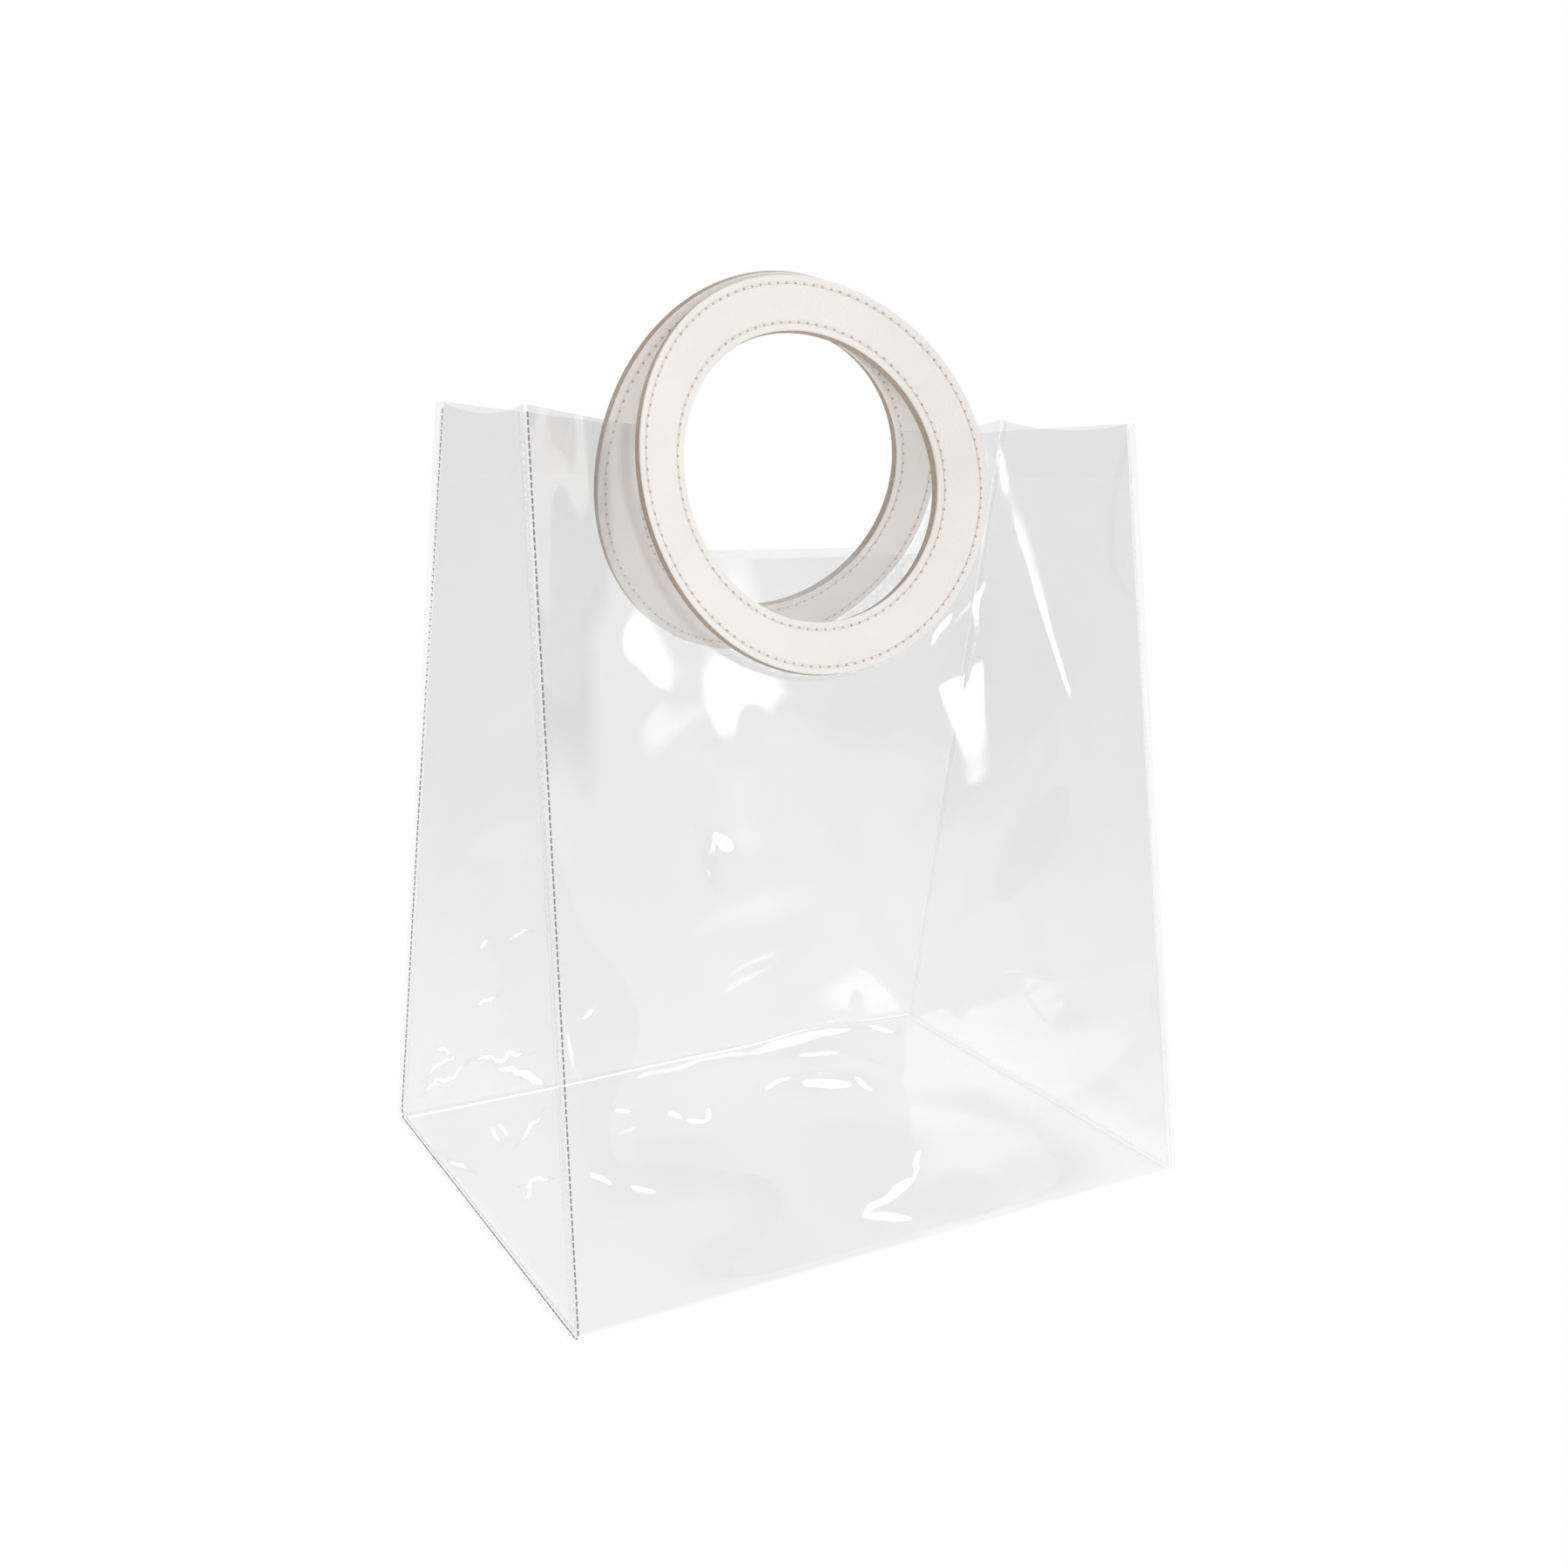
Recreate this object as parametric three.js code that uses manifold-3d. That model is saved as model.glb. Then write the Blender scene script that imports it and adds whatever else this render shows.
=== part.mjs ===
// Clear tote bag: one folded sheet of clear film makes the front panel, the base and the back panel,
// a clear gusset closes each side with its edges turned outward along the sheet's margins, and a
// leather ring handle lies on the outside of each panel, over a D-shaped hand hole in the film.
// Millimetres, +Z up, front panel toward -Y, standing on its base at Z = 0.

import * as THREE from "three";
import { mergeVertices } from "three/addons/utils/BufferGeometryUtils.js";
import Module from "manifold-3d";

// Sizes of the film body
const BASE_WIDTH = 250; // raw side edge to raw side edge, at the base
const TOP_WIDTH = 240; // the same at the top corners, where the handles pinch the panels
const BASE_DEPTH = 178; // front fold to back fold
const TOP_DEPTH = 78; // front to back at the top corners
const CORNER_HEIGHT = 280; // top corners above the floor
const EDGE_DIP = 5.5; // how far the raw top edge sinks from a corner to the rings
const GUSSET_DIP = 3; // how far a gusset's raw top edge sinks midway
const FILM = 1.0; // wall thickness
const FILM_GAP = 0.3; // between a gusset's turned edge and the sheet
const SEAM_MARGIN = 2.4; // from the seam to the raw side edge
const FOLD_RADIUS = 4; // of the bottom folds
const PINCH_POWER = 2.3; // how the pinch spreads from the middle of a panel to its corners

// Sizes of the leather rings and of the hand holes behind them
const RING_OUTER = 70;
const RING_INNER = 51.2;
const RING_THICK = 4.6;
const RING_CHAMFER = 0.8;
const RING_GAP = 0.5; // between a ring and the film behind it
const RING_HOLD = 2; // the film keeps the ring's own shape this far outside the ring
const RING_FADE = 45; // and loses it over this distance
const CHORD_DROP = 27.5; // straight lower edge of a hand hole, below the ring's centre
const HOLE_MARGIN = 1.5; // the hole in the film is this much wider than the ring's
const HOLE_CUT_INSIDE = 5; // reach of the cut for a hand hole, inward and outward of the ring
const HOLE_CUT_OUTSIDE = 16;

// Mesh steps
const LANES = 22; // cells across the sheet between the two seams
const PANEL_ROWS = 18; // cells up a panel
const FOLD_ROWS = 3; // cells around a bottom fold
const BASE_ROWS = 6; // cells across the base
const RING_STEPS = 64; // cells around a ring

// How each panel and its ring hang. side: which way is outward along Y. face: from the bag's middle
// to the ring's inner face. height: of the ring's centre. lean: the ring's top toward the inside, in
// degrees. yaw: turn about the vertical, in degrees. bow and cup: how far the ring's sides, and its
// top and bottom, curl outward. slope: how fast the panel leans in from its bottom fold.
const PANELS = {
  front: { side: -1, face: 0.5, height: 256.6, lean: 13.8, yaw: -0.8, bow: 12.2, cup: 5.1, slope: 0.34 },
  back: { side: 1, face: 15.3, height: 257.2, lean: 11.0, yaw: -1.2, bow: 1.5, cup: 10.2, slope: 0.2 },
};

const FOLD_TOP = FILM / 2 + FOLD_RADIUS; // height where a panel leaves its bottom fold
const FILM_BEHIND_RING = -(RING_GAP + FILM / 2); // the film's middle layer, from the ring's inner face

// A ring's own axes: across and up in its plane, normal pointing out of the bag
function ringAxes(panel) {
  const yaw = THREE.MathUtils.degToRad(panel.yaw);
  const lean = THREE.MathUtils.degToRad(panel.lean);
  const vertical = new THREE.Vector3(0, 0, 1);
  const outward = new THREE.Vector3(-Math.sin(yaw), Math.cos(yaw), 0).multiplyScalar(panel.side);
  return {
    centre: new THREE.Vector3(0, panel.side * panel.face, panel.height),
    across: new THREE.Vector3(Math.cos(yaw), Math.sin(yaw), 0),
    up: vertical.clone().multiplyScalar(Math.cos(lean)).addScaledVector(outward, -Math.sin(lean)),
    normal: outward.clone().multiplyScalar(Math.cos(lean)).addScaledVector(vertical, Math.sin(lean)),
  };
}

// Point at (u, v) in a ring's plane, at a height above the ring's curled inner face
function ringPoint(panel, u, v, height) {
  const { centre, across, up, normal } = ringAxes(panel);
  const curl = panel.bow * (u / RING_OUTER) ** 2 + panel.cup * (v / RING_OUTER) ** 2;
  const flat = centre.clone().addScaledVector(across, u).addScaledVector(up, v);
  return flat.addScaledVector(normal, curl + height);
}

// Outward distance of the film where it lies behind a ring, or where it would go on past it
function filmBehindRing(panel, x, z) {
  const solveSteps = 4;
  let v = z - panel.height;
  let u = x;
  for (let step = 0; step < solveSteps; step += 1) {
    const point = ringPoint(panel, u, v, FILM_BEHIND_RING);
    v += (z - point.z) / Math.cos(THREE.MathUtils.degToRad(panel.lean));
    u += x - point.x;
  }
  return panel.side * ringPoint(panel, u, v, FILM_BEHIND_RING).y;
}

// Outward distance of a panel's middle line: a smooth curve from the bottom fold to the ring's lower
// edge, then the film behind the ring
function middleLine(panel, z) {
  const ringBottom = panel.height - RING_OUTER;
  if (z >= ringBottom) {
    return filmBehindRing(panel, 0, z);
  }
  const step = 1;
  const ringOut = filmBehindRing(panel, 0, ringBottom);
  const ringSlope = (filmBehindRing(panel, 0, ringBottom + step) - ringOut) / step;
  const t = z / ringBottom;
  const foldShare = (1 + 2 * t) * (1 - t) ** 2;
  const foldSlopeShare = t * (1 - t) ** 2 * ringBottom;
  const ringShare = t ** 2 * (3 - 2 * t);
  const ringSlopeShare = t ** 2 * (t - 1) * ringBottom;
  const fromFold = (BASE_DEPTH / 2) * foldShare - panel.slope * foldSlopeShare;
  return fromFold + ringOut * ringShare + ringSlope * ringSlopeShare;
}

// Half the width of the sheet at a height
function halfWidth(z) {
  return THREE.MathUtils.lerp(BASE_WIDTH, TOP_WIDTH, z / CORNER_HEIGHT) / 2;
}

// Outward distance of a panel: straight side edges, pinched toward its middle line, and shaped by
// its ring close to the ring
function panelOutward(panel, x, z) {
  const edge = THREE.MathUtils.lerp(BASE_DEPTH, TOP_DEPTH, z / CORNER_HEIGHT) / 2;
  const middle = middleLine(panel, z);
  const spread = (Math.abs(x) / halfWidth(z)) ** PINCH_POWER;
  const free = middle + (edge - middle) * spread;
  const reach = Math.hypot(x, z - panel.height) - RING_OUTER - RING_HOLD;
  const ringShare = 1 - THREE.MathUtils.smoothstep(reach, 0, RING_FADE);
  return ringShare > 0 ? THREE.MathUtils.lerp(free, filmBehindRing(panel, x, z), ringShare) : free;
}

// Height of the raw top edge of a panel, for a lane measured at the base
function topEdge(lane) {
  const ringSide = RING_OUTER + RING_HOLD;
  const towardCorner = (Math.abs(lane) - ringSide) / (BASE_WIDTH / 2 - ringSide);
  return CORNER_HEIGHT - EDGE_DIP * (1 - Math.max(towardCorner, 0));
}

// One lane of the sheet on one panel, from the raw top edge down and around the bottom fold
function panelLane(panel, lane) {
  const points = [];
  const share = lane / (BASE_WIDTH / 2);
  for (let row = 0; row <= PANEL_ROWS; row += 1) {
    const z = THREE.MathUtils.lerp(topEdge(lane), FOLD_TOP, row / PANEL_ROWS);
    const x = share * halfWidth(z);
    points.push(new THREE.Vector3(x, panel.side * panelOutward(panel, x, z), z));
  }
  const fold = new THREE.QuadraticBezierCurve3(
    points[PANEL_ROWS],
    new THREE.Vector3(lane, (panel.side * BASE_DEPTH) / 2, FILM / 2),
    new THREE.Vector3(lane, panel.side * (BASE_DEPTH / 2 - FOLD_RADIUS), FILM / 2),
  );
  return points.concat(fold.getPoints(FOLD_ROWS).slice(1));
}

// One lane of the whole sheet: down the front, across the base and up the back
function sheetLane(lane) {
  const front = panelLane(PANELS.front, lane);
  const back = panelLane(PANELS.back, lane).reverse();
  const base = [];
  for (let row = 1; row < BASE_ROWS; row += 1) {
    base.push(front[front.length - 1].clone().lerp(back[0], row / BASE_ROWS));
  }
  return [...front, ...base, ...back];
}

// Normal of every point of a surface made of quads that are all wound the same way, long enough to
// keep the wall's thickness at a bend
function surfaceNormals(points, quads) {
  const touching = points.map(() => []);
  for (const quad of quads) {
    const [a, b, c, d] = quad.map((index) => points[index]);
    const normal = c.clone().sub(a).cross(d.clone().sub(b)).normalize();
    quad.forEach((index) => touching[index].push(normal));
  }
  return touching.map((normals) => {
    const mean = new THREE.Vector3();
    normals.forEach((normal) => mean.add(normal));
    mean.normalize();
    const straightest = Math.max(...normals.map((normal) => normal.dot(mean)));
    return mean.divideScalar(straightest);
  });
}

// Closed geometry from points and triangles, with its faces turned outward
function closedGeometry(points, triangles) {
  const signedVolume = ([a, b, c]) => points[a].dot(points[b].clone().cross(points[c])) / 6;
  const volume = triangles.reduce((sum, triangle) => sum + signedVolume(triangle), 0);
  const outward = volume < 0 ? triangles.map(([a, b, c]) => [a, c, b]) : triangles;
  const geometry = new THREE.BufferGeometry().setFromPoints(points);
  geometry.setIndex(outward.flat());
  geometry.computeVertexNormals();
  return geometry;
}

// Wall of film around a surface made of quads
function filmWall(points, quads) {
  const normals = surfaceNormals(points, quads);
  const inner = points.map((point, index) => point.clone().addScaledVector(normals[index], -FILM / 2));
  const outer = points.map((point, index) => point.clone().addScaledVector(normals[index], FILM / 2));
  const count = points.length;
  const triangles = [];
  const openEdges = new Map();
  for (const [a, b, c, d] of quads) {
    triangles.push([a, b, c], [a, c, d]);
    triangles.push([count + a, count + c, count + b], [count + a, count + d, count + c]);
    for (const [from, to] of [[a, b], [b, c], [c, d], [d, a]]) {
      if (!openEdges.delete(`${to} ${from}`)) {
        openEdges.set(`${from} ${to}`, [from, to]);
      }
    }
  }
  for (const [from, to] of openEdges.values()) {
    triangles.push([to, from, count + from], [to, count + from, count + to]);
  }
  return closedGeometry([...outer, ...inner], triangles);
}

// Lanes of the sheet: a seam margin at each side and even lanes between the seams
function laneList() {
  const seam = BASE_WIDTH / 2 - SEAM_MARGIN;
  const lanes = [-BASE_WIDTH / 2];
  for (let lane = 0; lane <= LANES; lane += 1) {
    lanes.push(THREE.MathUtils.lerp(-seam, seam, lane / LANES));
  }
  lanes.push(BASE_WIDTH / 2);
  return lanes;
}

// The folded sheet's middle layer as points and quads, lane after lane, wound so that its normals
// point out of the bag
function sheetSurface() {
  const lanes = laneList().map(sheetLane);
  const rows = lanes[0].length;
  const quads = [];
  for (let lane = 0; lane + 1 < lanes.length; lane += 1) {
    for (let row = 0; row + 1 < rows; row += 1) {
      const corner = lane * rows + row;
      quads.push([corner, corner + 1, corner + rows + 1, corner + rows]);
    }
  }
  return { points: lanes.flat(), quads, rows, laneCount: lanes.length };
}

// D-shaped plug that opens the hand hole behind a ring
function handHolePlug(panel) {
  const radius = RING_INNER + HOLE_MARGIN;
  const chordAngle = Math.asin(CHORD_DROP / radius);
  const outline = new THREE.Shape().absarc(0, 0, radius, -chordAngle, Math.PI + chordAngle, false);
  const depth = HOLE_CUT_INSIDE + HOLE_CUT_OUTSIDE;
  const extrusion = { depth, bevelEnabled: false, curveSegments: RING_STEPS / 2 };
  const plug = new THREE.ExtrudeGeometry(outline, extrusion);
  const { centre, across, up, normal } = ringAxes(panel);
  const forward = across.clone().cross(up);
  const start = forward.dot(normal) > 0 ? -HOLE_CUT_INSIDE : -HOLE_CUT_OUTSIDE;
  plug.translate(0, 0, start);
  plug.applyMatrix4(new THREE.Matrix4().makeBasis(across, up, forward).setPosition(centre));
  return plug;
}

const manifoldLibrary = await Module();
manifoldLibrary.setup();

// Solid made from a closed geometry
function toSolid(geometry) {
  const bare = geometry.clone();
  bare.deleteAttribute("normal");
  bare.deleteAttribute("uv");
  const merged = mergeVertices(bare);
  const mesh = new manifoldLibrary.Mesh({
    numProp: 3,
    vertProperties: Float32Array.from(merged.getAttribute("position").array),
    triVerts: Uint32Array.from(merged.getIndex().array),
  });
  return new manifoldLibrary.Manifold(mesh);
}

// Geometry made from a solid
function fromSolid(solid) {
  const mesh = solid.getMesh();
  const geometry = new THREE.BufferGeometry();
  const positions = Float32Array.from(mesh.vertProperties);
  geometry.setAttribute("position", new THREE.BufferAttribute(positions, mesh.numProp));
  geometry.setIndex(new THREE.BufferAttribute(Uint32Array.from(mesh.triVerts), 1));
  geometry.computeVertexNormals();
  return geometry;
}

// Front panel, base and back panel in one sheet, with a hand hole in each panel
function bodySheetGeometry(surface) {
  let solid = toSolid(filmWall(surface.points, surface.quads));
  for (const panel of Object.values(PANELS)) {
    solid = solid.subtract(toSolid(handHolePlug(panel)));
  }
  return fromSolid(solid);
}

// Side gusset: a plate that closes the side, and its turned edge along the inside of the sheet's
// margin, from the front's top corner around the base to the back's
function gussetGeometry(surface, edgeLane, seamLane) {
  const { points, quads, rows } = surface;
  const normals = surfaceNormals(points, quads);
  const beside = (lane, row) => {
    const index = lane * rows + row;
    return points[index].clone().addScaledVector(normals[index], -(FILM + FILM_GAP));
  };
  const gusset = [];
  for (let row = 0; row < rows; row += 1) {
    gusset.push(beside(seamLane, row));
  }
  for (let row = 0; row < rows; row += 1) {
    gusset.push(beside(edgeLane, row));
  }
  const faces = [];
  for (let row = 0; row + 1 < rows; row += 1) {
    faces.push([row, row + 1, rows + row + 1, rows + row]);
  }

  // The plate: level rows from the front seam to the back seam, down to the base
  const lowestRow = PANEL_ROWS + FOLD_ROWS;
  const plate = [];
  for (let row = 0; row <= lowestRow; row += 1) {
    const line = [];
    for (let column = 0; column <= BASE_ROWS; column += 1) {
      const share = column / BASE_ROWS;
      if (row === lowestRow) {
        line.push(lowestRow + column);
      } else if (column === 0) {
        line.push(row);
      } else if (column === BASE_ROWS) {
        line.push(rows - 1 - row);
      } else {
        const point = gusset[row].clone().lerp(gusset[rows - 1 - row], share);
        point.z -= GUSSET_DIP * 4 * share * (1 - share) * (point.z / CORNER_HEIGHT) ** 2;
        line.push(gusset.push(point) - 1);
      }
    }
    plate.push(line);
  }
  for (let row = 0; row < lowestRow; row += 1) {
    for (let column = 0; column < BASE_ROWS; column += 1) {
      const above = plate[row];
      const below = plate[row + 1];
      faces.push([above[column], above[column + 1], below[column + 1], below[column]]);
    }
  }
  return filmWall(gusset, faces);
}

// Leather ring: a flat band with eased edges, curled to the shape it hangs in
function ringGeometry(panel) {
  const middle = (RING_INNER + RING_OUTER) / 2;
  const section = [
    { radius: RING_INNER, height: RING_CHAMFER },
    { radius: RING_INNER, height: RING_THICK - RING_CHAMFER },
    { radius: RING_INNER + RING_CHAMFER, height: RING_THICK },
    { radius: middle, height: RING_THICK },
    { radius: RING_OUTER - RING_CHAMFER, height: RING_THICK },
    { radius: RING_OUTER, height: RING_THICK - RING_CHAMFER },
    { radius: RING_OUTER, height: RING_CHAMFER },
    { radius: RING_OUTER - RING_CHAMFER, height: 0 },
    { radius: middle, height: 0 },
    { radius: RING_INNER + RING_CHAMFER, height: 0 },
  ];
  const points = [];
  const triangles = [];
  const sides = section.length;
  for (let step = 0; step < RING_STEPS; step += 1) {
    const angle = (2 * Math.PI * step) / RING_STEPS;
    const next = (step + 1) % RING_STEPS;
    section.forEach(({ radius, height }, side) => {
      const following = (side + 1) % sides;
      points.push(ringPoint(panel, radius * Math.cos(angle), radius * Math.sin(angle), height));
      const [a, b] = [step * sides + side, next * sides + side];
      const [c, d] = [next * sides + following, step * sides + following];
      triangles.push([a, b, c], [a, c, d]);
    });
  }
  return closedGeometry(points, triangles);
}

const clearFilm = new THREE.MeshStandardMaterial({
  color: 0xe8eaec,
  roughness: 0.08,
  metalness: 0,
  transparent: true,
  opacity: 0.3,
});
const creamLeather = new THREE.MeshStandardMaterial({ color: 0xf0ebe4, roughness: 0.6, metalness: 0 });

function namedMesh(name, geometry, material) {
  const mesh = new THREE.Mesh(geometry, material);
  mesh.name = name;
  return mesh;
}

const surface = sheetSurface();
const lastLane = surface.laneCount - 1;

const bag = new THREE.Group();
bag.name = "clear_tote_bag";
bag.add(
  namedMesh("body_sheet", bodySheetGeometry(surface), clearFilm),
  namedMesh("gusset_left", gussetGeometry(surface, 0, 1), clearFilm),
  namedMesh("gusset_right", gussetGeometry(surface, lastLane, lastLane - 1), clearFilm),
  namedMesh("ring_front", ringGeometry(PANELS.front), creamLeather),
  namedMesh("ring_back", ringGeometry(PANELS.back), creamLeather),
);

export default bag;
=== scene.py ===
"""Looks of the clear tote bag: film body, film gussets, leather ring handles, stitches, light and camera.

Shapes are worked out in millimetres in the bag's own frame (+Z up, front panel toward -Y) and turned
into metres when a mesh is made.
"""

import math

import bpy
import numpy as np
from mathutils import Matrix, Vector


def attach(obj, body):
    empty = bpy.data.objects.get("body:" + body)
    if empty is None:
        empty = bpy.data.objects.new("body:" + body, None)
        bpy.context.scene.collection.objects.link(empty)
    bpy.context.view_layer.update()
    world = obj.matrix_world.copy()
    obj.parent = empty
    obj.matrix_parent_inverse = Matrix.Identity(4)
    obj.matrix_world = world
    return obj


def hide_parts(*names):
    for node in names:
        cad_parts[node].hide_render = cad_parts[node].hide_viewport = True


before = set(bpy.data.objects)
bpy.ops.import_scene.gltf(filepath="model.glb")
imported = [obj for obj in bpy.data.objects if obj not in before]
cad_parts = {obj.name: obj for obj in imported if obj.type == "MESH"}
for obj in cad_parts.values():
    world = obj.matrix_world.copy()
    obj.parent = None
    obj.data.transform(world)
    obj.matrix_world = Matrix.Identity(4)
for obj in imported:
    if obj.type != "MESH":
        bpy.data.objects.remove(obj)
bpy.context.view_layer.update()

MM = 0.001

# Sizes of the film body
BASE_WIDTH = 250.0
TOP_WIDTH = 240.0
BASE_DEPTH = 178.0
TOP_DEPTH = 78.0
CORNER_HEIGHT = 280.0
EDGE_DIP = 5.5
GUSSET_DIP = 3.0
GUSSET_BELLY = 2.2
WALL = 1.0
WALL_GAP = 0.3
SEAM_MARGIN = 2.4
FOLD_RADIUS = 4.0
PINCH_POWER = 2.3
FILM = 0.7

# Sizes of the leather rings and of the hand holes behind them
RING_OUTER = 70.0
RING_INNER = 51.2
RING_THICK = 4.6
RING_EASE = 0.9
RING_GAP = 0.5
RING_HOLD = 2.0
RING_FADE = 45.0
RING_GROOVE = dict(deep=0.15, wide=0.75)
RING_CROWN = 0.18
RIM_START = 0.75
FACE_BAND = 0.05
CHORD_DROP = 27.5
HOLE_RADIUS = RING_INNER + 1.5

# Stitches
STITCH_LINES = (RING_INNER + 2.8, RING_OUTER - 2.8)
STITCH_PITCH = 3.6
STITCH_LENGTH = 2.75
STITCH_RADIUS = 0.36
STITCH_SUNK = 0.1
AHEAD_ANGLE = 0.01
ASIDE_STEP = 0.5
NEEDLE_HOLE = dict(length=1.0, radius=0.46, flat=0.4)
SEAM_PITCH = 2.3
SEAM_START = 3.0
SEAM_SHARE = 0.4
SEAM_LIFT = 0.4
SEAM_CLEAR = 0.03
SEAM_REACH = 0.6
SEAM_STITCH = 1.9
SEAM_THREAD = {"left": 0.28, "right": 0.11}

# Mesh steps
LANES = 108
MARGIN_LANES = 2
PANEL_ROWS = 128
FOLD_ROWS = 8
BASE_ROWS = 56
RING_STEPS = 288
EASE_STEPS = 5
FACE_STEPS = 26
RIM_STEPS = 6

# How each panel and its ring hang
PANELS = {
    "front": dict(side=-1, face=0.5, height=256.6, lean=13.8, yaw=-0.8, bow=12.2, cup=5.1, slope=0.34),
    "back": dict(side=1, face=15.3, height=257.2, lean=11.0, yaw=-1.2, bow=1.5, cup=10.2, slope=0.20),
}

FOLD_TOP = WALL / 2 + FOLD_RADIUS
FILM_BEHIND_RING = -(RING_GAP + WALL / 2)

# Soft folds and creases of the film. at: middle of the fold, as (x, z) on a panel, (x, y) on the base and
# (y, z) on a gusset. turn: its direction in degrees from the first of these axes. long and wide: half
# sizes. rise: height, outward on a panel, up on the base and inward on a gusset.
FOLDS = {
    "front": [
        dict(at=(-66, 184), turn=38, long=8.5, wide=26, rise=1.9),
        dict(at=(-41, 176), turn=54, long=38, wide=10.5, rise=0.4),
        dict(at=(-41, 160), turn=88, long=31, wide=8, rise=1.3),
        dict(at=(64.5, 150.5), turn=53.5, long=49.5, wide=25, rise=7.8),
        dict(at=(110, 218), turn=88, long=50, wide=9.5, rise=1.7),
        dict(at=(-82.5, 225.5), turn=76, long=48, wide=14.5, rise=-2.2),
        dict(at=(90.5, 181), turn=98, long=34, wide=5.5, rise=-1.2),
        dict(at=(63, 196.5), turn=67, long=20, wide=12, rise=2.2),
        dict(at=(72.5, 232), turn=108, long=15.5, wide=9, rise=0.8),
        dict(at=(-58, 152), turn=37, long=17, wide=7, rise=0.8),
    ],
    "back": [
        dict(at=(-40, 160), turn=75, long=40, wide=16, rise=-2.0),
        dict(at=(45, 150), turn=105, long=50, wide=15, rise=-2.2),
        dict(at=(0, 90), turn=5, long=60, wide=18, rise=1.5),
        dict(at=(40, 36), turn=20, long=20, wide=7, rise=1.6),
    ],
    "base": [
        dict(at=(50, 41), turn=-17, long=26, wide=12, rise=2.0),
        dict(at=(55, -8), turn=-25, long=48, wide=30, rise=2.4),
        dict(at=(-38, 20), turn=-20, long=28, wide=20, rise=1.2),
    ],
    "left": [
        dict(at=(10, 50), turn=160, long=36, wide=20, rise=2.6),
        dict(at=(-30, 90), turn=140, long=30, wide=14, rise=1.4),
    ],
    "right": [
        dict(at=(10, 60), turn=20, long=40, wide=20, rise=2.0),
    ],
}

# Where the bottom fold of a panel stands off the floor. at: x. long: half length.
LIFTS = {
    "front": [],
    "back": [dict(at=72, long=30, rise=3.4), dict(at=5, long=45, rise=1.2)],
}
LIFT_POWER = 11

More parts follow.
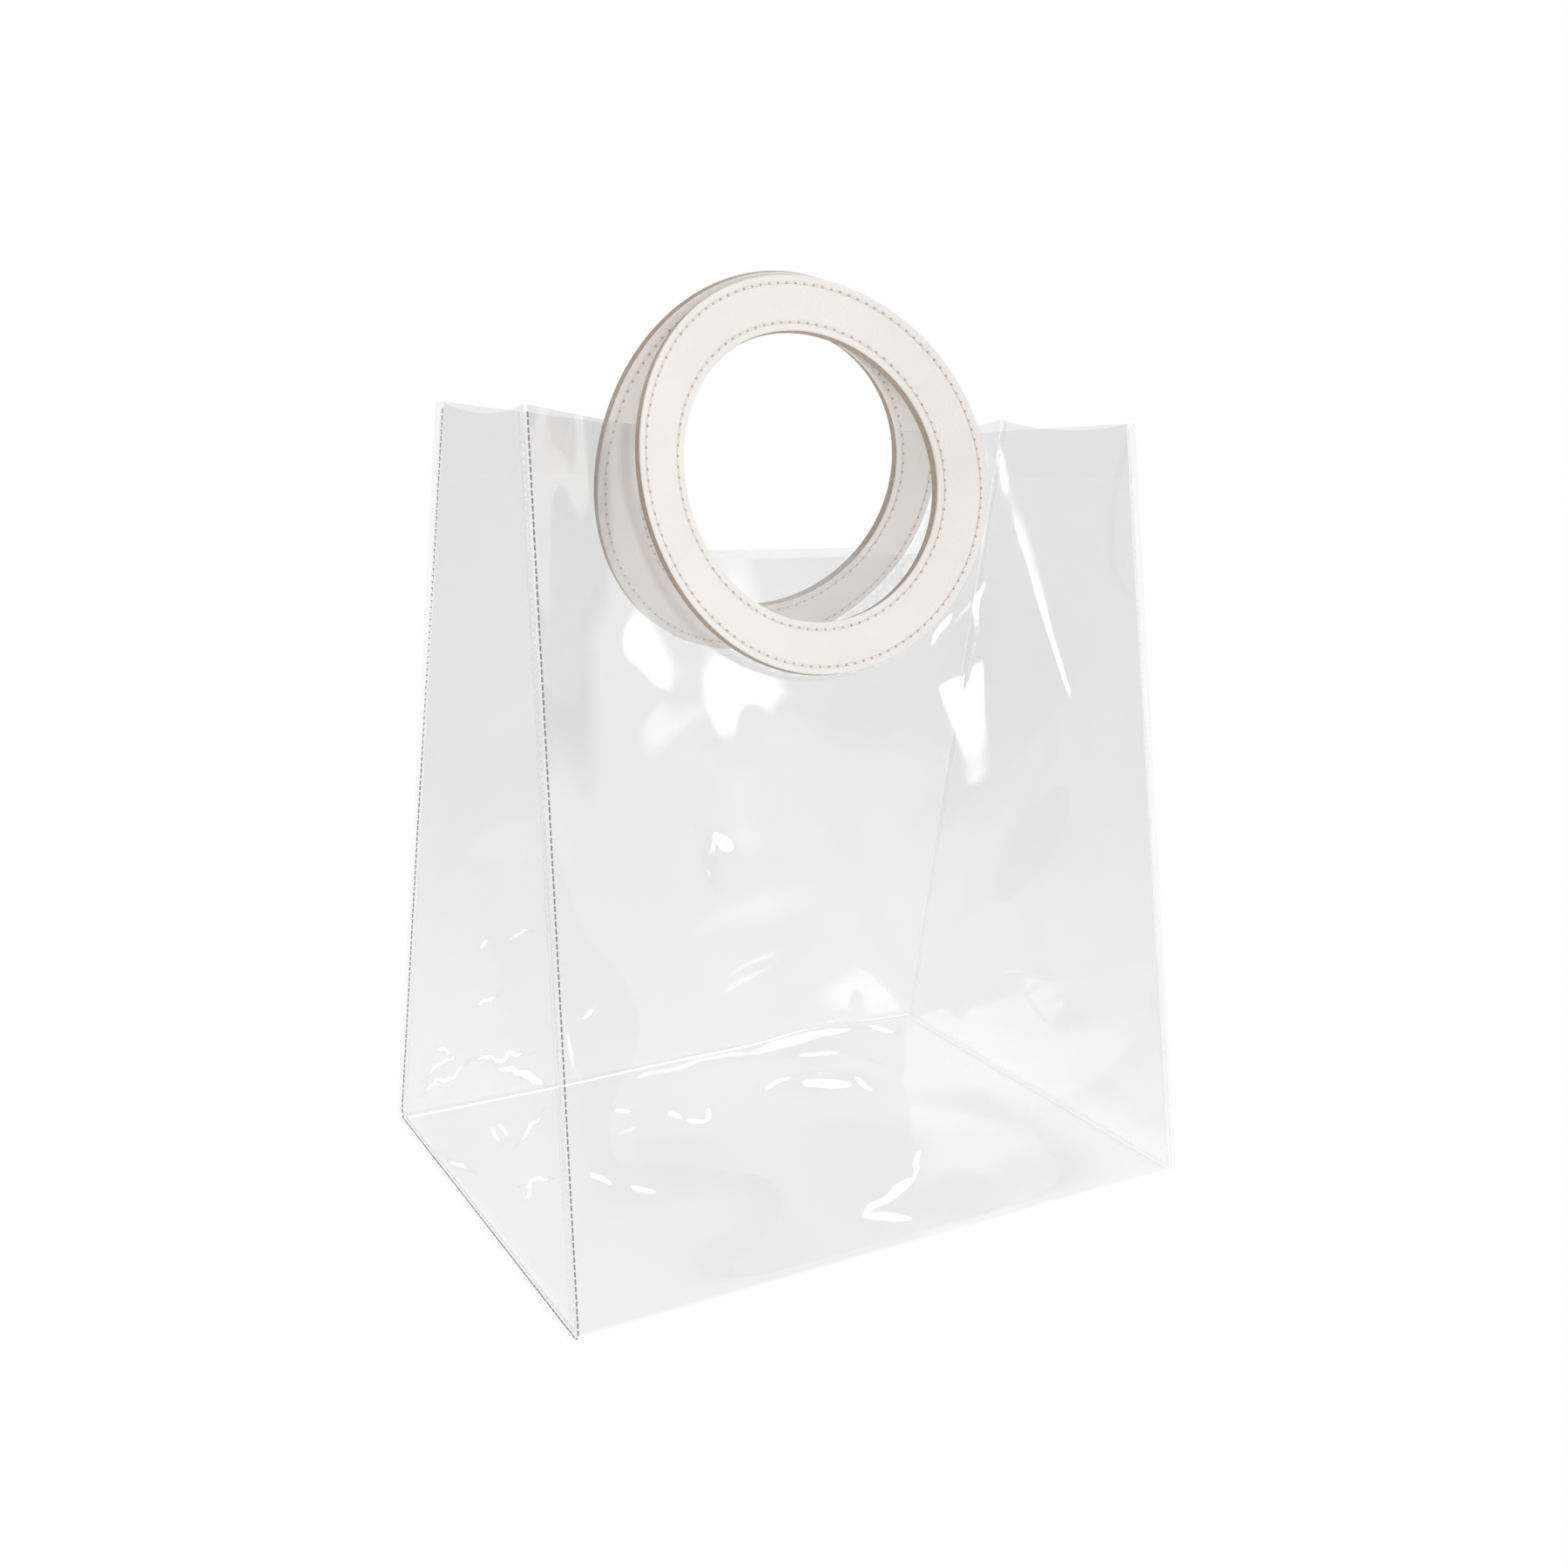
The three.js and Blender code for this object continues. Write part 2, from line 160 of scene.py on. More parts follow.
# Sharp press marks of the film, finer than its mesh: narrow spots that lean another way than the film
# around them and so catch the light. face: the surface they are on. off: where it is along the axis that
# at leaves out. lean: added to the film's normal. at, turn, long and wide as above. full: how far a spot
# leans, when less than fully.
MARKS = [
    dict(
        face="left",
        off=-121,
        lean=(0, -0.06, 1.08),
        spots=[
            dict(at=(-11, 63), turn=156, long=32, wide=0.8),
            dict(at=(-30, 65), turn=164, long=30, wide=1.2),
            dict(at=(-46, 69), turn=162, long=14, wide=1.5),
            dict(at=(45, 33), turn=147, long=29, wide=0.7, full=0.8),
            dict(at=(48, 38), turn=143, long=22, wide=0.6, full=0.8),
            dict(at=(1, 80), turn=150, long=13, wide=0.8, full=0.8),
            dict(at=(2, 100), turn=144, long=5.5, wide=0.9, full=0.8),
            dict(at=(-32, 114), turn=156, long=14, wide=0.7, full=0.8),
            dict(at=(-10, 35), turn=15, long=7, wide=0.9, full=0.85),
            dict(at=(-17, 39), turn=13, long=7, wide=0.8, full=0.85),
            dict(at=(-45, 52), turn=138, long=18, wide=0.7, full=0.85),
            dict(at=(-50, 36), turn=151, long=19, wide=0.8, full=0.8),
            dict(at=(-44, 31), turn=120, long=8, wide=0.8, full=0.8),
            dict(at=(46, 45), turn=170, long=7.5, wide=0.8, full=0.8),
            dict(at=(29, 8), turn=166, long=26, wide=1.4, full=0.75),
        ],
    ),
    dict(
        face="right",
        off=121,
        lean=(0, 0.01, 0.29),
        spots=[
            dict(at=(37, 261), turn=64, long=15, wide=2.7),
        ],
    ),
    dict(
        face="base",
        off=0,
        lean=(-0.13, -0.19, 0),
        spots=[
            dict(at=(60, 66), turn=160, long=13, wide=1.6, full=0.8),
            dict(at=(75, 50), turn=106, long=11, wide=1.4, full=0.8),
            dict(at=(27, 46), turn=18, long=11, wide=1.5, full=0.9),
            dict(at=(48, 43), turn=152, long=14, wide=1.8, full=0.9),
            dict(at=(58, 28), turn=93, long=9, wide=1.5, full=0.9),
            dict(at=(43, 34), turn=151, long=11, wide=4.0, full=0.8),
            dict(at=(-27, 38), turn=108, long=6.5, wide=2.6),
            dict(at=(-22, 29), turn=150, long=6.5, wide=2.6),
            dict(at=(-14, 32), turn=57, long=7.5, wide=1.4),
            dict(at=(-43, 52), turn=125, long=6, wide=2.2, full=0.8),
            dict(at=(-49, 35), turn=21, long=7.5, wide=1.8, full=0.8),
            dict(at=(-75, 3), turn=103, long=8, wide=2.0, full=0.8),
            dict(at=(-64, -11), turn=124, long=6, wide=1.8, full=0.8),
            dict(at=(36, -43), turn=46, long=11, wide=1.0, full=0.9),
            dict(at=(15, -56), turn=21, long=16, wide=2.0, full=0.9),
            dict(at=(4, -69), turn=136, long=8.5, wide=2.2, full=0.9),
            dict(at=(0, 81), turn=3, long=42, wide=1.2, full=0.75),
            dict(at=(45, 81), turn=2, long=38, wide=3.0, full=0.6),
            dict(at=(80, 82), turn=0, long=14, wide=2.4, full=0.6),
            dict(at=(100, 78), turn=126, long=9, wide=2.4),
        ],
    ),
    dict(
        face="front",
        off=-46,
        lean=(-0.345, -0.01, 0.12),
        spots=[
            dict(at=(-57.5, 138), turn=106, long=10, wide=4.5),
            dict(at=(-53, 141), turn=152, long=7, wide=3.0),
            dict(at=(-57.5, 131), turn=97, long=6, wide=2.6),
        ],
    ),
    dict(
        face="front",
        off=-25,
        lean=(0.42, -0.12, 0.11),
        spots=[
            dict(at=(62, 208), turn=69, long=20, wide=1.3),
            dict(at=(49, 205), turn=53, long=7.5, wide=1.1),
        ],
    ),
    dict(
        face="front",
        off=-70,
        lean=(0, 0.08, 0.46),
        spots=[
            dict(at=(-118, 89), turn=100, long=10, wide=0.7, full=0.85),
            dict(at=(-110.5, 99.5), turn=20, long=4, wide=0.7, full=0.85),
        ],
    ),
]
MARK_REACH = 45.0
MARK_FOOT = 1.5

# Broad ripples of the loose film: how many waves, their lengths, and the height of the longest
RIPPLE_WAVES = 7
RIPPLE_LENGTHS = (55.0, 150.0)
RIPPLE_HEIGHT = 0.55
RIPPLE_SEEDS = {"front": 11, "back": 23}


def smooth_step(value, low, high):
    share = np.clip((value - low) / (high - low), 0, 1)
    return share * share * (3 - 2 * share)


def mix(first, second, share):
    return first + (second - first) * share


# A ring's own axes: across and up in its plane, normal pointing out of the bag
def ring_axes(panel):
    yaw = math.radians(panel["yaw"])
    lean = math.radians(panel["lean"])
    vertical = np.array([0.0, 0.0, 1.0])
    outward = panel["side"] * np.array([-math.sin(yaw), math.cos(yaw), 0.0])
    centre = np.array([0.0, panel["side"] * panel["face"], panel["height"]])
    across = np.array([math.cos(yaw), math.sin(yaw), 0.0])
    up = vertical * math.cos(lean) - outward * math.sin(lean)
    normal = outward * math.cos(lean) + vertical * math.sin(lean)
    return centre, across, up, normal


# Points at (u, v) in a ring's plane, at a height above the ring's curled inner face
def ring_point(panel, u, v, height):
    centre, across, up, normal = ring_axes(panel)
    u, v, height = np.broadcast_arrays(u, v, height)
    curl = panel["bow"] * (u / RING_OUTER) ** 2 + panel["cup"] * (v / RING_OUTER) ** 2
    flat = centre + u[..., None] * across + v[..., None] * up
    return flat + (curl + height)[..., None] * normal


# Points around a ring at a radius, angles and a height
def around_ring(panel, radius, angle, height):
    return ring_point(panel, radius * np.cos(angle), radius * np.sin(angle), height)


# Place (u, v) in a ring's plane of the film at x and z
def ring_place(panel, x, z):
    v = z - panel["height"]
    u = x
    for _ in range(4):
        point = ring_point(panel, u, v, FILM_BEHIND_RING)
        v = v + (z - point[..., 2]) / math.cos(math.radians(panel["lean"]))
        u = u + x - point[..., 0]
    return u, v


# Outward distance of the film where it lies behind a ring, or where it would go on past it
def film_behind_ring(panel, x, z):
    u, v = ring_place(panel, x, z)
    return panel["side"] * ring_point(panel, u, v, FILM_BEHIND_RING)[..., 1]


# Outward distance of a panel's middle line, from the bottom fold to the ring and behind it
def middle_line(panel, z):
    ring_bottom = panel["height"] - RING_OUTER
    zero = np.zeros(1)
    ring_out = film_behind_ring(panel, zero, zero + ring_bottom)[0]
    ring_slope = film_behind_ring(panel, zero, zero + ring_bottom + 1)[0] - ring_out
    t = np.minimum(z / ring_bottom, 1)
    from_fold = (BASE_DEPTH / 2 * (1 + 2 * t) - panel["slope"] * t * ring_bottom) * (1 - t) ** 2
    to_ring = ring_out * t**2 * (3 - 2 * t) + ring_slope * t**2 * (t - 1) * ring_bottom
    return np.where(z >= ring_bottom, film_behind_ring(panel, np.zeros_like(z), z), from_fold + to_ring)


def half_width(z):
    return mix(BASE_WIDTH, TOP_WIDTH, z / CORNER_HEIGHT) / 2


# Which cells of the sheet lie against a ring
def against_ring(sheet):
    middle = (sheet[:-1, :-1] + sheet[1:, 1:]) / 2
    half = middle.shape[1] // 2
    against = np.zeros(middle.shape[:2], bool)
    for name, rows in (("front", slice(0, half)), ("back", slice(half, None))):
        away = np.linalg.norm(middle[:, rows] - ring_axes(PANELS[name])[0], axis=-1)
        against[:, rows] = (away > RING_INNER) & (away < RING_OUTER)
    return against


# How high the folds stand at places (a, b) of a surface
def fold_rise(folds, a, b):
    rise = np.zeros_like(a)
    for fold in folds:
        turn = math.radians(fold["turn"])
        first = a - fold["at"][0]
        second = b - fold["at"][1]
        along = first * math.cos(turn) + second * math.sin(turn)
        aside = second * math.cos(turn) - first * math.sin(turn)
        rise = rise + fold["rise"] * np.exp(-((along / fold["long"]) ** 2) - (aside / fold["wide"]) ** 2)
    return rise


# Broad ripples of loose film
def ripple(seed, x, z):
    random = np.random.default_rng(seed)
    rise = np.zeros_like(x)
    for _ in range(RIPPLE_WAVES):
        length = random.uniform(*RIPPLE_LENGTHS)
        turn = random.uniform(0, math.pi)
        start = random.uniform(0, 2 * math.pi)
        along = x * math.cos(turn) + z * math.sin(turn)
        height = RIPPLE_HEIGHT * length / RIPPLE_LENGTHS[1]
        rise = rise + height * np.sin(2 * math.pi * along / length + start)
    return rise


# Outward distance of a panel: straight side edges, pinched toward its middle line, shaped by its ring
# close to the ring, and folded where it is free
def panel_outward(name, x, z):
    panel = PANELS[name]
    edge = mix(BASE_DEPTH, TOP_DEPTH, z / CORNER_HEIGHT) / 2
    middle = middle_line(panel, z)
    spread = (np.abs(x) / half_width(z)) ** PINCH_POWER
    free = middle + (edge - middle) * spread
    reach = np.hypot(x, z - panel["height"]) - RING_OUTER - RING_HOLD
    ring_share = 1 - smooth_step(reach, 0, RING_FADE)
    shaped = mix(free, film_behind_ring(panel, x, z), ring_share)
    to_seam = half_width(z) - np.abs(x)
    loose = smooth_step(reach, -2, 12) * smooth_step(to_seam, 0, 22) * smooth_step(z, 4, 40)
    return shaped + loose * (fold_rise(FOLDS[name], x, z) + ripple(RIPPLE_SEEDS[name], x, z))


# Height of the raw top edge of a panel, for a lane measured at the base
def top_edge(lane):
    ring_side = RING_OUTER + RING_HOLD
    toward_corner = (np.abs(lane) - ring_side) / (BASE_WIDTH / 2 - ring_side)
    return CORNER_HEIGHT - EDGE_DIP * (1 - np.maximum(toward_corner, 0))


# How far the bottom fold of a panel stands off the floor
def fold_lift(name, x):
    rise = np.zeros_like(x)
    for lift in LIFTS[name]:
        rise = rise + lift["rise"] * np.exp(-(((x - lift["at"]) / lift["long"]) ** 2))
    return rise


# How far the base stands off the floor, because the film isn't quite flat
def base_rise(x, y):
    inside_x = smooth_step(BASE_WIDTH / 2 - np.abs(x), 2, 40)
    inside_y = smooth_step(BASE_DEPTH / 2 - np.abs(y), 2, 40)
    wave = 0.8 + 0.5 * np.sin(x / 24 + y / 60 + 0.6) + 0.3 * np.sin(y / 19 - x / 45)
    return (wave + fold_rise(FOLDS["base"], x, y)) * inside_x * inside_y


def lane_list():
    seam = BASE_WIDTH / 2 - SEAM_MARGIN
    margin = np.linspace(seam, BASE_WIDTH / 2, MARGIN_LANES + 1)[1:]
    return np.concatenate([-margin[::-1], np.linspace(-seam, seam, LANES + 1), margin])


# Signed distance outside a hand hole and the nearest point of its outline, for points of a ring's plane
def hole_outline(u, v):
    radius = np.hypot(u, v)
    chord_half = math.sqrt(HOLE_RADIUS**2 - CHORD_DROP**2)
    to_arc = radius - HOLE_RADIUS
    to_chord = -CHORD_DROP - v
    outside = np.maximum(to_arc, to_chord)
    on_chord = to_chord > to_arc
    to_outline = HOLE_RADIUS / np.maximum(radius, 1e-6)
    near_u = np.where(on_chord, np.clip(u, -chord_half, chord_half), u * to_outline)
    near_v = np.where(on_chord, -CHORD_DROP, v * to_outline)
    return outside, near_u, near_v


# The middle layer of one panel as a grid of points, lane by lane from the raw top edge down around the
# bottom fold, and which of its cells lie in the hand hole
def panel_grid(name, lanes):
    panel = PANELS[name]
    side = panel["side"]
    rows = np.linspace(0, 1, PANEL_ROWS + 1)
    z = mix(top_edge(lanes)[:, None], FOLD_TOP, rows[None, :])
    x = lanes[:, None] / (BASE_WIDTH / 2) * half_width(z)

    u, v = ring_place(panel, x, z)
    outside, near_u, near_v = hole_outline(u, v)
    middle = (outside[:-1, :-1] + outside[1:, :-1] + outside[1:, 1:] + outside[:-1, 1:]) / 4
    in_hole = middle < 0
    in_hole &= np.abs(v[:-1, :-1]) < 2 * RING_OUTER

    touches_hole = np.zeros(x.shape, bool)
    touches_film = np.zeros(x.shape, bool)
    last_lane, last_row = in_hole.shape
    for lane in (0, 1):
        for row in (0, 1):
            corner = (slice(lane, last_lane + lane), slice(row, last_row + row))
            touches_hole[corner] |= in_hole
            touches_film[corner] |= ~in_hole
    on_outline = touches_hole & touches_film
    on_outline[:, 0] = False
    snapped = ring_point(panel, near_u, near_v, FILM_BEHIND_RING)
    x = np.where(on_outline, snapped[..., 0], x)
    z = np.where(on_outline, snapped[..., 2], z)
    points = np.stack([x, side * panel_outward(name, x, z), z], axis=-1)

    start = points[:, -1]
    lift = fold_lift(name, lanes)
    control = np.stack([lanes, 0 * lanes + side * BASE_DEPTH / 2, lift + WALL / 2], axis=-1)
    end = control - np.array([0, side * FOLD_RADIUS, 0])
    t = (np.arange(1, FOLD_ROWS + 1) / FOLD_ROWS)[None, :, None]
    fold = (1 - t) ** 2 * start[:, None] + 2 * t * (1 - t) * control[:, None] + t**2 * end[:, None]
    in_hole = np.concatenate([in_hole, np.zeros((len(lanes) - 1, FOLD_ROWS), bool)], axis=1)
    return np.concatenate([points, fold], axis=1), in_hole


# The middle layer of the folded sheet: down the front, across the base and up the back
def sheet_grid():
    lanes = lane_list()
    front, front_hole = panel_grid("front", lanes)
    back, back_hole = panel_grid("back", lanes)
    share = (np.arange(1, BASE_ROWS) / BASE_ROWS)[None, :, None]
    base = mix(front[:, -1:], back[:, -1:], share)
    height = mix(front[:, -1:, 2], back[:, -1:, 2], share[..., 0] ** LIFT_POWER)
    base[..., 2] = height + base_rise(base[..., 0], base[..., 1])
    base_hole = np.zeros((len(lanes) - 1, BASE_ROWS), bool)
    points = np.concatenate([front, base, back[:, ::-1]], axis=1)
    in_hole = np.concatenate([front_hole, base_hole, back_hole[:, ::-1]], axis=1)
    return points, in_hole


# Quads between the numbered points of a grid
def corner_quads(corner):
    return np.stack([corner[:-1, :-1], corner[:-1, 1:], corner[1:, 1:], corner[1:, :-1]], axis=-1)


# Quads of a grid, wound so that a sheet's normals point out of the bag
def grid_quads(lane_count, row_count):
    return corner_quads(np.arange(lane_count * row_count).reshape(lane_count, row_count))


# Normals of points from the quads around them, long enough to keep a wall's thickness at a bend
def point_normals(points, quads):
    a, b, c, d = (points[quads[:, corner]] for corner in range(4))
    normal = np.cross(c - a, d - b)
    normal /= np.maximum(np.linalg.norm(normal, axis=1, keepdims=True), 1e-9)
    mean = np.zeros_like(points)
    for corner in range(4):
        np.add.at(mean, quads[:, corner], normal)
    mean /= np.maximum(np.linalg.norm(mean, axis=1, keepdims=True), 1e-9)
    straight = np.ones(len(points))
    for corner in range(4):
        np.minimum.at(straight, quads[:, corner], np.einsum("ij,ij->i", normal, mean[quads[:, corner]]))
    return mean / np.maximum(straight, 0.5)[:, None]


def sheet_normals(sheet):
    quads = grid_quads(*sheet.shape[:2]).reshape(-1, 4)
    return point_normals(sheet.reshape(-1, 3), quads).reshape(sheet.shape)


# Edges that only one quad uses, in the quad's own direction
def open_edges(quads, count):
    starts = quads.reshape(-1)
    ends = np.roll(quads, -1, axis=1).reshape(-1)
    forward = starts.astype(np.int64) * count + ends
    backward = ends.astype(np.int64) * count + starts
    free = ~np.isin(forward, backward)
    return np.stack([starts[free], ends[free]], axis=1)


# Closed thin wall around a surface of quads: points, quads, and the finish of each, with the last finish
# on the raw edge
def film_wall(points, quads, thickness, finish):
    used, renumbered = np.unique(quads, return_inverse=True)
    points = points[used]
    quads = renumbered.reshape(-1, 4)
    normals = point_normals(points, quads)
    count = len(points)
    shell = np.concatenate([points + normals * thickness / 2, points - normals * thickness / 2])
    edges = open_edges(quads, count)
    rim = np.stack([edges[:, 1], edges[:, 0], edges[:, 0] + count, edges[:, 1] + count], axis=1)
    faces = np.concatenate([quads, quads[:, ::-1] + count, rim])
    edge_finish = np.full(len(rim), finish.max() + 1)
    return shell, faces, np.concatenate([finish, finish, edge_finish])


def mesh_object(name, points, faces, materials, material_index=None, sharp_degrees=35):
    mesh = bpy.data.meshes.new(name)
    mesh.from_pydata((np.asarray(points) * MM).tolist(), [], [list(face) for face in faces])
    for material in materials:
        mesh.materials.append(material)
    if material_index is not None:
        mesh.polygons.foreach_set("material_index", np.asarray(material_index, np.int32))
    mesh.polygons.foreach_set("use_smooth", np.ones(len(mesh.polygons), bool))
    mesh.set_sharp_from_angle(angle=math.radians(sharp_degrees))
    mesh.update()
    piece = bpy.data.objects.new(name, mesh)
    bpy.context.scene.collection.objects.link(piece)
    return piece


# How far the film's weight presses a gusset's plate inward
def gusset_swell(name, y, z):
    to_seam = mix(BASE_DEPTH, TOP_DEPTH, z / CORNER_HEIGHT) / 2 - np.abs(y)
    belly = GUSSET_BELLY * smooth_step(to_seam, 0, 60) * np.exp(-(((z - 120) / 110) ** 2))
    creases = fold_rise(FOLDS[name], y, z) * smooth_step(to_seam, 0, 16)
    return (belly + creases) * smooth_step(z, 2, 30)


# Side gusset: a plate that closes the side, with its edge turned outward along the sheet's margin
def gusset_surface(sheet, side):
    row_count = sheet.shape[1]
    normals = sheet_normals(sheet)
    inner = sheet - normals * (WALL + WALL_GAP)
    margin = inner[: MARGIN_LANES + 1] if side < 0 else inner[::-1][: MARGIN_LANES + 1]
    seam = margin[-1]
    plate_rows = PANEL_ROWS + FOLD_ROWS
    front = seam[: plate_rows + 1]
    back = seam[::-1][: plate_rows + 1]
    share = np.linspace(0, 1, BASE_ROWS + 1)[None, :]
    plate = mix(front[:, None], back[:, None], share[..., None])
    height = plate[..., 2].copy()
    plate[..., 2] -= GUSSET_DIP * 4 * share * (1 - share) * (height / CORNER_HEIGHT) ** 2
    plate[..., 0] -= side * gusset_swell("left" if side < 0 else "right", plate[..., 1], height)
    plate[-1] = seam[plate_rows : plate_rows + BASE_ROWS + 1]

    points = [margin.reshape(-1, 3)]
    margin_index = np.arange((MARGIN_LANES + 1) * row_count).reshape(MARGIN_LANES + 1, row_count)
    plate_index = np.zeros(plate.shape[:2], int)
    seam_index = margin_index[-1]
    plate_index[:, 0] = seam_index[: plate_rows + 1]
    plate_index[:, -1] = seam_index[::-1][: plate_rows + 1]
    plate_index[-1] = seam_index[plate_rows : plate_rows + BASE_ROWS + 1]
    inside = (slice(0, plate_rows), slice(1, BASE_ROWS))
    own = plate_index[inside]
    plate_index[inside] = margin_index.size + np.arange(own.size).reshape(own.shape)
    points.append(plate[inside].reshape(-1, 3))
    margin_quads = corner_quads(margin_index[::-1]).reshape(-1, 4)
    plate_quads = corner_quads(plate_index).reshape(-1, 4)
    is_margin = np.repeat([1, 0], [len(margin_quads), len(plate_quads)])
    return np.concatenate(points), np.concatenate([margin_quads, plate_quads]), is_margin


# Section of a ring: (radius, height) points around it, and which of its sides are the cut rim
def ring_section():
    corners = [
        (RING_OUTER - RING_EASE, RING_THICK - RING_EASE, 0),
        (RING_INNER + RING_EASE, RING_THICK - RING_EASE, 90),
        (RING_INNER + RING_EASE, RING_EASE, 180),
        (RING_OUTER - RING_EASE, RING_EASE, 270),
    ]
    outline = []
    for radius, height, start in corners:
        for step in range(EASE_STEPS + 1):
            angle = math.radians(start + 90 * step / EASE_STEPS)
            outline.append((radius + RING_EASE * math.cos(angle), height + RING_EASE * math.sin(angle)))
    dense = []
    for (r0, h0), (r1, h1) in zip(outline, outline[1:] + outline[:1]):
        pieces = 1
        if abs(r1 - r0) > RING_EASE:
            pieces = FACE_STEPS
        elif abs(h1 - h0) > RING_EASE:
            pieces = RIM_STEPS
        for step in range(pieces):
            dense.append((mix(r0, r1, step / pieces), mix(h0, h1, step / pieces)))
    section = np.array(dense)
    is_face = (section[:, 1] < FACE_BAND) | (section[:, 1] > RING_THICK - FACE_BAND)
    groove = np.zeros(len(section))
    for line in STITCH_LINES:
        groove += RING_GROOVE["deep"] * np.exp(-(((section[:, 0] - line) / RING_GROOVE["wide"]) ** 2))
    across = (section[:, 0] - RING_INNER) / (RING_OUTER - RING_INNER)
    crown = RING_CROWN * np.sin(np.pi * across) - RING_CROWN
    toward_middle = np.where(section[:, 1] > RING_THICK / 2, -1, 1)
    section[:, 1] += np.where(is_face, toward_middle * (groove - crown), 0)
    side_middle = (section[:, 1] + np.roll(section[:, 1], -1)) / 2
    rim = (side_middle > RIM_START) & (side_middle < RING_THICK - RIM_START)
    return section, rim


def ring_piece(name, panel, materials):
    section, rim = ring_section()
    sides = len(section)
    angle = np.arange(RING_STEPS)[:, None] * 2 * math.pi / RING_STEPS
    points = around_ring(panel, section[None, :, 0], angle, section[None, :, 1]).reshape(-1, 3)
    index = np.arange(RING_STEPS * sides).reshape(RING_STEPS, sides)
    after = np.roll(index, -1, axis=0)
    quads = np.stack([index, after, np.roll(after, -1, axis=1), np.roll(index, -1, axis=1)], axis=-1)
    if panel["side"] > 0:
        quads = quads[..., ::-1]
    material_index = np.broadcast_to(rim[None, :], (RING_STEPS, sides)).astype(int)
    return mesh_object(name, points, quads.reshape(-1, 4), materials, material_index.reshape(-1))


# A capsule along its first axis, flattened along its third
def capsule(length, radius, sides=8, cap_rings=3, flat=1.0):
    rings = []
    straight = length / 2 - radius
    for end in (-1, 1):
        for ring in range(cap_rings):
            place = cap_rings - 1 - ring if end < 0 else ring
            lift = math.pi / 2 * place / cap_rings
            rings.append((end * (straight + radius * math.sin(lift)), radius * math.cos(lift)))
    points = [(-length / 2, 0.0, 0.0)]
    for along, around in rings:
        for side in range(sides):
            angle = 2 * math.pi * side / sides
            points.append((along, around * math.cos(angle), flat * around * math.sin(angle)))
    points.append((length / 2, 0.0, 0.0))
    faces = []
    for side in range(sides):
        following = (side + 1) % sides
        faces.append((0, 1 + following, 1 + side))
        for ring in range(len(rings) - 1):
            low = 1 + ring * sides
            faces.append((low + side, low + following, low + sides + following, low + sides + side))
        last = 1 + (len(rings) - 1) * sides
        faces.append((last + side, last + following, len(points) - 1))
    return np.array(points), faces


# Copies of a small shape at many places, each with its own axes
def copies(template, centres, along, out):
    points, faces = template
    along = along / np.linalg.norm(along, axis=1, keepdims=True)
    out = out - along * np.einsum("ij,ij->i", out, along)[:, None]
    out = out / np.linalg.norm(out, axis=1, keepdims=True)
    aside = np.cross(out, along)
    placed = (
        centres[:, None]
        + points[None, :, 0:1] * along[:, None]
        + points[None, :, 1:2] * aside[:, None]
        + points[None, :, 2:3] * out[:, None]
    )
    all_faces = []
    for copy in range(len(centres)):
        offset = copy * len(points)
        all_faces.extend([[offset + corner for corner in face] for face in faces])
    return placed.reshape(-1, 3), all_faces


def joined(parts):
    points = []
    faces = []
    material_index = []
    offset = 0
    for (part_points, part_faces), material in parts:
        points.append(part_points)
        faces.extend([[offset + corner for corner in face] for face in part_faces])
        material_index.extend([material] * len(part_faces))
        offset += len(part_points)
    return np.concatenate(points), faces, material_index


# Two lines of stitches on both faces of a ring, with a needle hole between each two stitches: a small dark
# oval whose colour is painted shade inside the hole
def ring_stitches(name, panel, materials):
    stitch = capsule(STITCH_LENGTH, STITCH_RADIUS)
    needle_hole_shade = capsule(**NEEDLE_HOLE)
    normal = ring_axes(panel)[3]
    parts = []
    for radius in STITCH_LINES:
        count = round(2 * math.pi * radius / STITCH_PITCH)
        for height, facing in ((RING_THICK - STITCH_SUNK, 1), (STITCH_SUNK, -1)):
            for shift, template, material in ((0.0, stitch, 0), (0.5, needle_hole_shade, 1)):
                angle = (np.arange(count) + shift) * 2 * math.pi / count
                here = around_ring(panel, radius, angle, height)
                ahead = around_ring(panel, radius, angle + AHEAD_ANGLE, height)
                wider = around_ring(panel, radius + ASIDE_STEP, angle, height)
                out = np.cross(wider - here, ahead - here)
                out *= np.sign(out @ normal)[:, None] * facing
                parts.append((copies(template, here, ahead - here, out), material))
    points, faces, material_index = joined(parts)
    return mesh_object(name, points, faces, materials, material_index)


# Values at distances along a line of known lengths
def along_line(lengths, values, distance):
    return np.stack([np.interp(distance, lengths, values[:, axis]) for axis in range(3)], axis=1)


